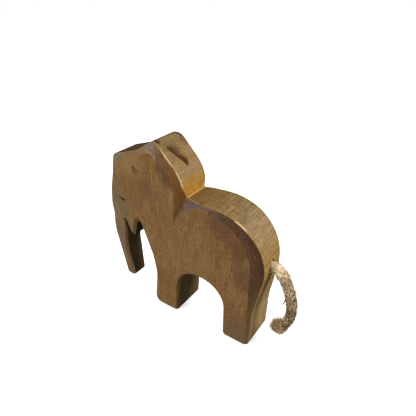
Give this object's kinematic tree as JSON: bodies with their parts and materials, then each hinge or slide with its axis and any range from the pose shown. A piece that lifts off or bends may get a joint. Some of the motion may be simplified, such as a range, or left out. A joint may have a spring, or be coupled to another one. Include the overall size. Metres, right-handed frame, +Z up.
{
  "type": "wooden elephant figure",
  "caption": "Wooden elephant figure sawn from a thick board, with knife-cut bevels, a knife cut between the ears and a rope tail glued into the rump that swings from side to side.",
  "frame": {"origin": "on the ground, under the middle of the wooden figure's box; the rope tail isn't counted", "axes": "the elephant faces -X, its right side is +Y (the board's thickness) and +Z is up"},
  "size_m": [0.1285, 0.024, 0.1119],
  "materials": {
    "wood": "oiled and stained, satin",
    "rope": "twisted jute fibre, matt",
    "glue": "cured wood glue"
  },
  "bodies": {
    "body": {"body": "wood", "tail_root": "rope", "tail_glue": "glue"},
    "tail": {"tail_rope": "rope"}
  },
  "joints": [
    {"name": "tail_swing", "type": "hinge", "parent": "body", "child": "tail", "pos_m": [0.05957, 0, 0.055], "axis": [1, 0, 0], "range_deg": [-40, 40], "stiffness_Nm_per_rad": 0.005}
  ]
}
